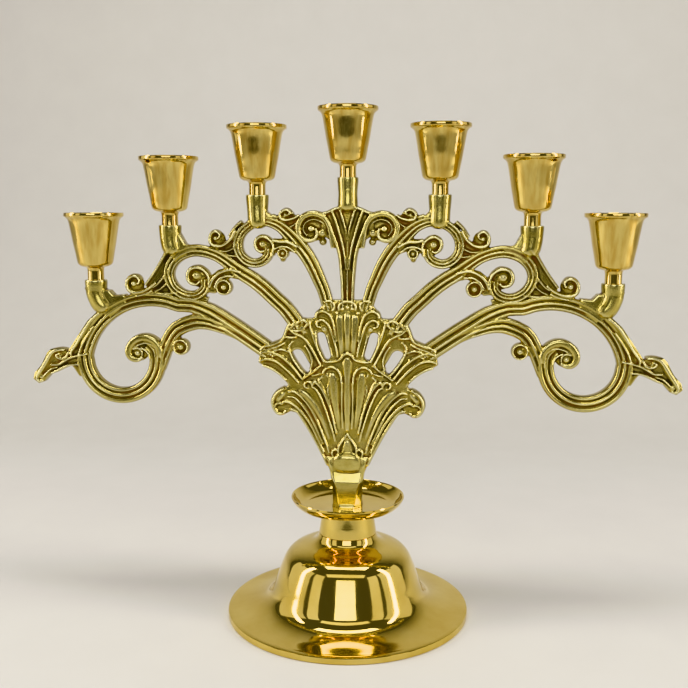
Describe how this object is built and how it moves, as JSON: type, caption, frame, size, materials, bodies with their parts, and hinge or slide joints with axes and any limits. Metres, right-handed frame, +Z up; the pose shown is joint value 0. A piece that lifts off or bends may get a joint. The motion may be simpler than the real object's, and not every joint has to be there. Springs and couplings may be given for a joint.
{
  "type": "candelabrum",
  "caption": "Brass candelabrum with an openwork fan of scrolls and a shell, turned candle cups on posts, a drip pan and a polished bell foot.",
  "frame": {"origin": "on the floor, under the middle of the foot", "axes": "+Z up, +X along the row of cups, +Y towards the back of the fan"},
  "size_m": [0.3802, 0.143, 0.296],
  "materials": {
    "polished_brass": "mirror-polished and lacquered brass",
    "cast_brass": "satin cast brass, brown in the grooves and bright on the ridges",
    "plated_steel": "zinc-plated steel threads"
  },
  "bodies": {
    "foot_group": {"foot": "polished_brass", "collar": "polished_brass", "drip_pan": "polished_brass", "washer": "plated_steel"},
    "branch": {"branch_casting": "cast_brass", "tie_rod": "plated_steel", "hex_nut": "plated_steel"},
    "stud_1": {"cup_stud_1": "plated_steel"},
    "cup_1": {"candle_cup_1": "polished_brass"},
    "stud_2": {"cup_stud_2": "plated_steel"},
    "cup_2": {"candle_cup_2": "polished_brass"},
    "stud_3": {"cup_stud_3": "plated_steel"},
    "cup_3": {"candle_cup_3": "polished_brass"},
    "stud_4": {"cup_stud_4": "plated_steel"},
    "cup_4": {"candle_cup_4": "polished_brass"},
    "stud_5": {"cup_stud_5": "plated_steel"},
    "cup_5": {"candle_cup_5": "polished_brass"},
    "stud_6": {"cup_stud_6": "plated_steel"},
    "cup_6": {"candle_cup_6": "polished_brass"},
    "stud_7": {"cup_stud_7": "plated_steel"},
    "cup_7": {"candle_cup_7": "polished_brass"}
  },
  "joints": [
    {"name": "branch_swivel", "type": "hinge", "parent": "foot_group", "child": "branch", "pos_m": [0, 0, 0.0652], "axis": [0, 0, 1], "continuous": true},
    {"name": "cup_1_lift", "type": "slide", "parent": "branch", "child": "stud_1", "axis": [0, 0, 1], "range_m": [0, 0.006]},
    {"name": "cup_1_turn", "type": "hinge", "parent": "stud_1", "child": "cup_1", "pos_m": [-0.149, 0, 0.198], "axis": [0, 0, 1], "range_deg": [0, 3060]},
    {"name": "cup_2_lift", "type": "slide", "parent": "branch", "child": "stud_2", "axis": [0, 0, 1], "range_m": [0, 0.006]},
    {"name": "cup_2_turn", "type": "hinge", "parent": "stud_2", "child": "cup_2", "pos_m": [-0.1035, 0, 0.23], "axis": [0, 0, 1], "range_deg": [0, 3060]},
    {"name": "cup_3_lift", "type": "slide", "parent": "branch", "child": "stud_3", "axis": [0, 0, 1], "range_m": [0, 0.006]},
    {"name": "cup_3_turn", "type": "hinge", "parent": "stud_3", "child": "cup_3", "pos_m": [-0.052, 0, 0.2473], "axis": [0, 0, 1], "range_deg": [0, 3060]},
    {"name": "cup_4_lift", "type": "slide", "parent": "branch", "child": "stud_4", "axis": [0, 0, 1], "range_m": [0, 0.006]},
    {"name": "cup_4_turn", "type": "hinge", "parent": "stud_4", "child": "cup_4", "pos_m": [0, 0, 0.257], "axis": [0, 0, 1], "range_deg": [0, 3060]},
    {"name": "cup_5_lift", "type": "slide", "parent": "branch", "child": "stud_5", "axis": [0, 0, 1], "range_m": [0, 0.006]},
    {"name": "cup_5_turn", "type": "hinge", "parent": "stud_5", "child": "cup_5", "pos_m": [0.052, 0, 0.2473], "axis": [0, 0, 1], "range_deg": [0, 3060]},
    {"name": "cup_6_lift", "type": "slide", "parent": "branch", "child": "stud_6", "axis": [0, 0, 1], "range_m": [0, 0.006]},
    {"name": "cup_6_turn", "type": "hinge", "parent": "stud_6", "child": "cup_6", "pos_m": [0.1035, 0, 0.23], "axis": [0, 0, 1], "range_deg": [0, 3060]},
    {"name": "cup_7_lift", "type": "slide", "parent": "branch", "child": "stud_7", "axis": [0, 0, 1], "range_m": [0, 0.006]},
    {"name": "cup_7_turn", "type": "hinge", "parent": "stud_7", "child": "cup_7", "pos_m": [0.149, 0, 0.198], "axis": [0, 0, 1], "range_deg": [0, 3060]}
  ],
  "couplings": [
    {"joint": "cup_1_lift", "follows": "cup_1_turn", "m_per_rad": 0.00011141},
    {"joint": "cup_2_lift", "follows": "cup_2_turn", "m_per_rad": 0.00011141},
    {"joint": "cup_3_lift", "follows": "cup_3_turn", "m_per_rad": 0.00011141},
    {"joint": "cup_4_lift", "follows": "cup_4_turn", "m_per_rad": 0.00011141},
    {"joint": "cup_5_lift", "follows": "cup_5_turn", "m_per_rad": 0.00011141},
    {"joint": "cup_6_lift", "follows": "cup_6_turn", "m_per_rad": 0.00011141},
    {"joint": "cup_7_lift", "follows": "cup_7_turn", "m_per_rad": 0.00011141}
  ]
}
